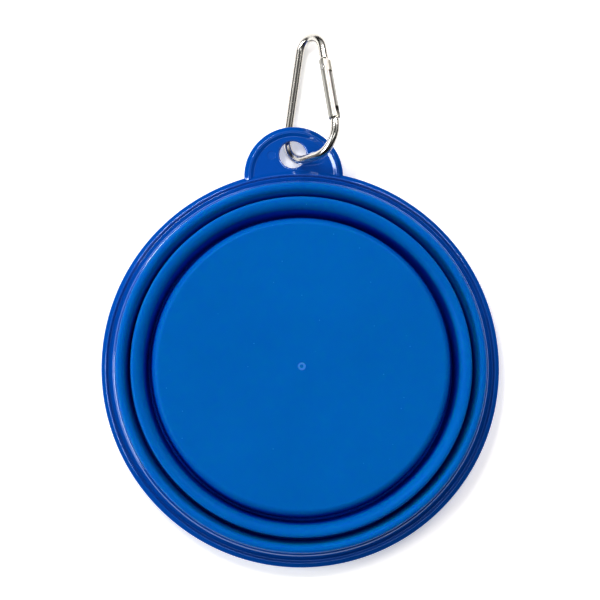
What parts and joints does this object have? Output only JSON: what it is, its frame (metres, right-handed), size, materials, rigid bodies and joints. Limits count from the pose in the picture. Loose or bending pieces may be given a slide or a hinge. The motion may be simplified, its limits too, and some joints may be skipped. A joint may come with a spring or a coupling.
{
  "type": "collapsible silicone bowl",
  "caption": "Round pleated silicone bowl folded flat, with a hard plastic rim, a hanging tab with an eyelet and a sprung snap carabiner.",
  "frame": {"origin": "on the bowl's axis, in the plane of the mouth that the folded bowl lies on", "axes": "+Z out of the base's underside, away from the mouth; +Y towards the hanging tab and the carabiner"},
  "size_m": [0.13, 0.1752, 0.0186],
  "materials": {
    "rim_plastic": "glossy deep blue polypropylene",
    "silicone": "satin blue silicone",
    "clip_metal": "polished and bright plated",
    "rivet_steel": "plain steel",
    "plunger_brass": "turned"
  },
  "bodies": {
    "rim": {"rim": "rim_plastic", "upper_wall": "silicone", "upper_fold": "silicone"},
    "middle": {"middle_wall": "silicone", "lower_fold": "silicone"},
    "base": {"base": "silicone"},
    "carabiner": {"carabiner_body": "clip_metal", "gate_rivet": "rivet_steel"},
    "gate": {"carabiner_gate": "clip_metal", "gate_spring": "rivet_steel"},
    "plunger": {"gate_plunger": "plunger_brass"}
  },
  "joints": [
    {"name": "upper_pleat", "type": "slide", "parent": "rim", "child": "middle", "axis": [0, 0, 1], "range_m": [0, 0.017], "deforming": ["upper_fold"]},
    {"name": "lower_pleat", "type": "slide", "parent": "middle", "child": "base", "axis": [0, 0, 1], "range_m": [0, 0.02], "deforming": ["lower_fold"]},
    {"name": "carabiner_swivel", "type": "hinge", "parent": "rim", "child": "carabiner", "pos_m": [0, 0.0703, 0.0041], "axis": [0, 0, 1], "range_deg": [-75, 100]},
    {"name": "gate_hinge", "type": "hinge", "parent": "carabiner", "child": "gate", "pos_m": [0.01158, 0.09764, 0.01145], "axis": [0.7193, -0.1206, -0.6841], "range_deg": [0, 22], "stiffness_Nm_per_rad": 0.02, "springref_deg": -17.19},
    {"name": "plunger_slide", "type": "slide", "parent": "gate", "child": "plunger", "axis": [0.1112, -0.9521, 0.2848], "range_m": [0, 0.0004], "deforming": ["gate_spring"]}
  ],
  "couplings": [
    {"joint": "plunger_slide", "follows": "gate_hinge", "m_per_rad": 0.00097}
  ]
}
